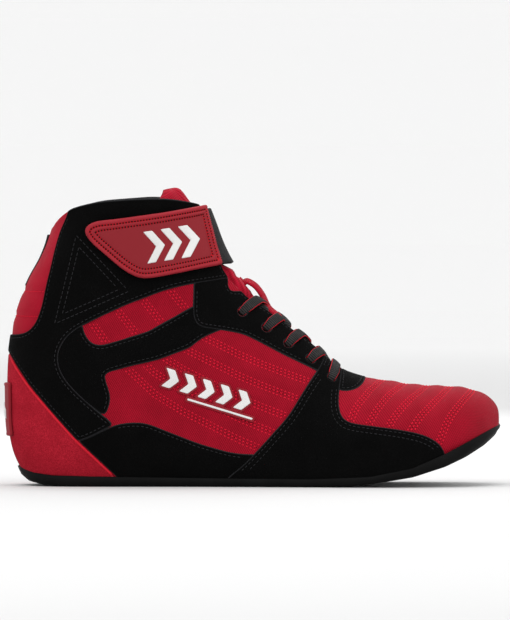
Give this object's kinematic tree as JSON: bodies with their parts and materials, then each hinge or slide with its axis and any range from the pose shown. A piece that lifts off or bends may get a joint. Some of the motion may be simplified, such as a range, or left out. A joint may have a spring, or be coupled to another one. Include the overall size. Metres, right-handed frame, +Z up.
{
  "type": "boxing boot",
  "caption": "High-top boxing boot for the right foot in red mesh with black suede overlays, flat laces, a padded collar and a hook-and-loop ankle strap",
  "frame": {"origin": "middle of the flat part of the tread, on the floor", "axes": "+X to the toe, +Y to the inner (medial) side of the foot, +Z up"},
  "size_m": [0.2932, 0.1029, 0.1755],
  "materials": {
    "sole_rubber": "satin moulded rubber with a fine tread",
    "fibreboard": "pressed fibreboard",
    "insole_fabric": "brushed knit over foam",
    "mesh_red": "woven nylon mesh, quilted in dotted rows",
    "lining": "brushed knit lining",
    "stiffener": "thermoplastic sheet",
    "foam": "open-cell foam",
    "suede_red": "microsuede",
    "suede_black": "fuzzy suede, grey stitching",
    "piping_red": "satin piping",
    "rubber_red": "matte moulded rubber",
    "print_white": "raised white print",
    "webbing_black": "ribbed elastic webbing",
    "webbing_red": "ribbed webbing",
    "lace_black": "flat ribbed lace with thin red edges",
    "loop_tape": "loop tape",
    "hook_tape": "hook tape"
  },
  "bodies": {
    "boot": {"outsole": "sole_rubber", "lasting_board": "fibreboard", "insole": "insole_fabric", "vamp_mesh": "mesh_red", "quarter_mesh_lateral": "mesh_red", "quarter_mesh_medial": "mesh_red", "heel_mesh": "mesh_red", "vamp_lining": "lining", "quarter_lining_lateral": "lining", "quarter_lining_medial": "lining", "heel_stiffener": "stiffener", "collar_foam": "foam", "collar_lining": "lining", "heel_counter": "suede_red", "heel_piping": "piping_red", "heel_patch": "rubber_red", "heel_emblem": "print_white", "back_pull_strip": "webbing_black", "ankle_overlay_lateral": "suede_black", "ankle_overlay_medial": "suede_black", "mid_overlay_lateral": "suede_black", "mid_overlay_medial": "suede_black", "eyestay_lateral": "suede_black", "eyestay_medial": "suede_black", "forefoot_overlay_lateral": "suede_black", "forefoot_overlay_medial": "suede_black", "foxing_lateral": "suede_black", "foxing_medial": "suede_black", "throat_tab": "suede_black", "tongue": "mesh_red", "tongue_lace_keeper": "webbing_red", "lace": "lace_black", "side_emblem_backing": "rubber_red", "side_emblem": "print_white", "loop_pad": "loop_tape", "strap_anchor": "webbing_black"},
    "strap": {"strap_band": "webbing_black"},
    "tab": {"strap_tab": "rubber_red", "hook_pad": "hook_tape", "strap_emblem": "print_white"}
  },
  "joints": [
    {"name": "strap_swing", "type": "hinge", "parent": "boot", "child": "strap", "pos_m": [-0.0224, 0.0171, 0.149], "axis": [-0.341, 0, 0.9401], "range_deg": [0, 110]},
    {"name": "tab_peel", "type": "hinge", "parent": "strap", "child": "tab", "pos_m": [-0.0199, -0.0189, 0.1492], "axis": [-0.3372, 0, 0.9414], "range_deg": [0, 140]}
  ]
}
